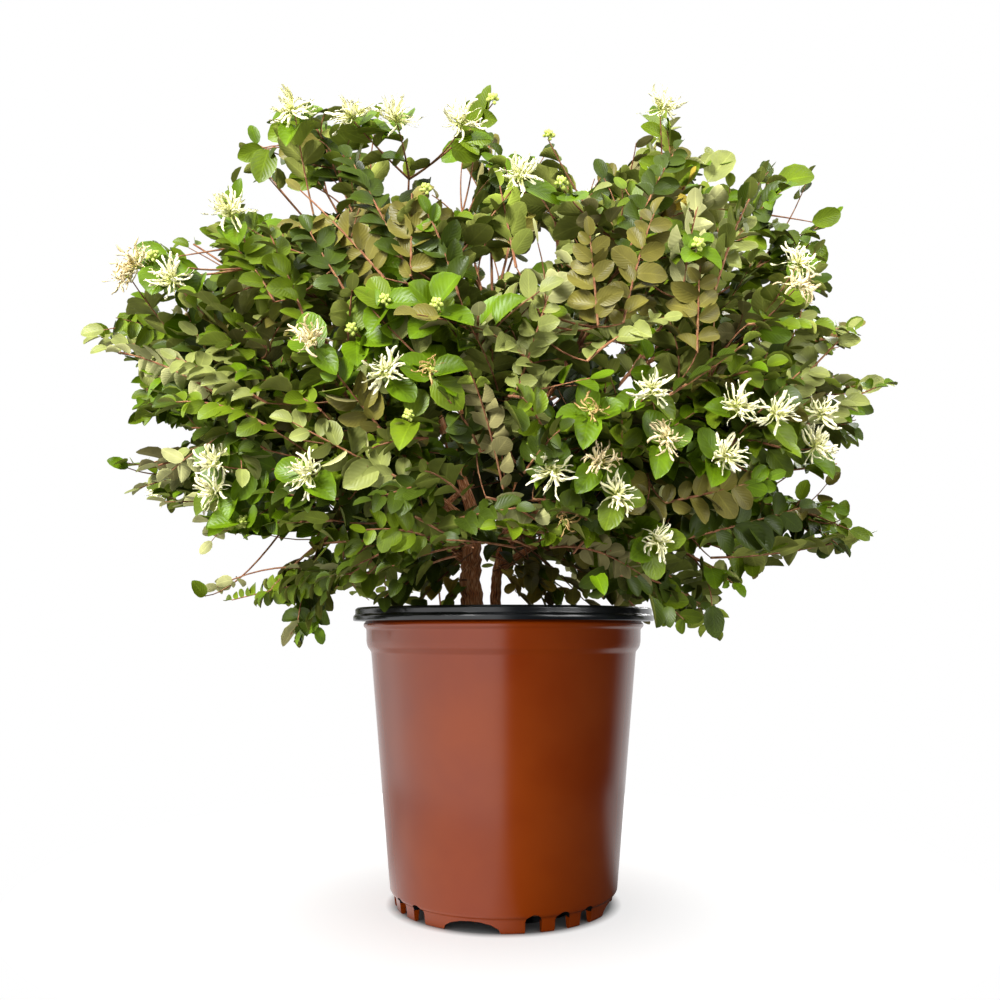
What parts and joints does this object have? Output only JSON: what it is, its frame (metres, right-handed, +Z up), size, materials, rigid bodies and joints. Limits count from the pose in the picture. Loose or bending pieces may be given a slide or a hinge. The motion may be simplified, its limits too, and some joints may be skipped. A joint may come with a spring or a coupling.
{
  "type": "potted chinese fringe flower shrub",
  "caption": "Low spreading evergreen shrub with small oval leaves and strap-petalled white blossom, in a round moulded nursery pot with a slotted foot.",
  "frame": {"origin": "Centre of the pot's flat underside, on the floor it stands on.", "axes": "+Z up the plant; -Y is the front, the side seen in the picture; +X to the viewer's right."},
  "size_m": [0.6628, 0.5739, 0.6477],
  "materials": {
    "pot_plastic": "brown semi-gloss moulded plastic",
    "lip_plastic": "black moulded plastic",
    "potting_mix": null,
    "bark": "thin reddish-brown bark",
    "foliage": null
  },
  "bodies": {
    "root": {"bough_back_centre": "bark", "bough_back_left": "bark", "bough_back_low_left": "bark", "bough_back_low_right": "bark", "bough_back_right": "bark", "bough_back_upper_left": "bark", "bough_back_upper_right": "bark", "bough_droop_right": "bark", "bough_front_centre": "bark", "bough_front_left": "bark", "bough_front_low_left": "bark", "bough_front_low_right": "bark", "bough_front_right": "bark", "bough_front_upper_left": "bark", "bough_front_upper_right": "bark", "bough_left_lower": "bark", "bough_left_mid": "bark", "bough_left_upper": "bark", "bough_low_left": "bark", "bough_low_right": "bark", "bough_right_mid": "bark", "bough_right_upper": "bark", "bough_top_centre": "bark", "bough_top_left": "bark", "bough_top_right": "bark", "foliage_back_centre": "foliage", "foliage_back_left": "foliage", "foliage_back_low_left": "foliage", "foliage_back_low_right": "foliage", "foliage_back_right": "foliage", "foliage_back_upper_left": "foliage", "foliage_back_upper_right": "foliage", "foliage_droop_right": "foliage", "foliage_front_centre": "foliage", "foliage_front_left": "foliage", "foliage_front_low_left": "foliage", "foliage_front_low_right": "foliage", "foliage_front_right": "foliage", "foliage_front_upper_left": "foliage", "foliage_front_upper_right": "foliage", "foliage_left_lower": "foliage", "foliage_left_mid": "foliage", "foliage_left_upper": "foliage", "foliage_low_left": "foliage", "foliage_low_right": "foliage", "foliage_right_mid": "foliage", "foliage_right_upper": "foliage", "foliage_top_centre": "foliage", "foliage_top_left": "foliage", "foliage_top_right": "foliage", "pot": "pot_plastic", "pot_lip": "lip_plastic", "second_stem": "bark", "soil": "potting_mix", "trunk": "bark"}
  },
  "joints": []
}
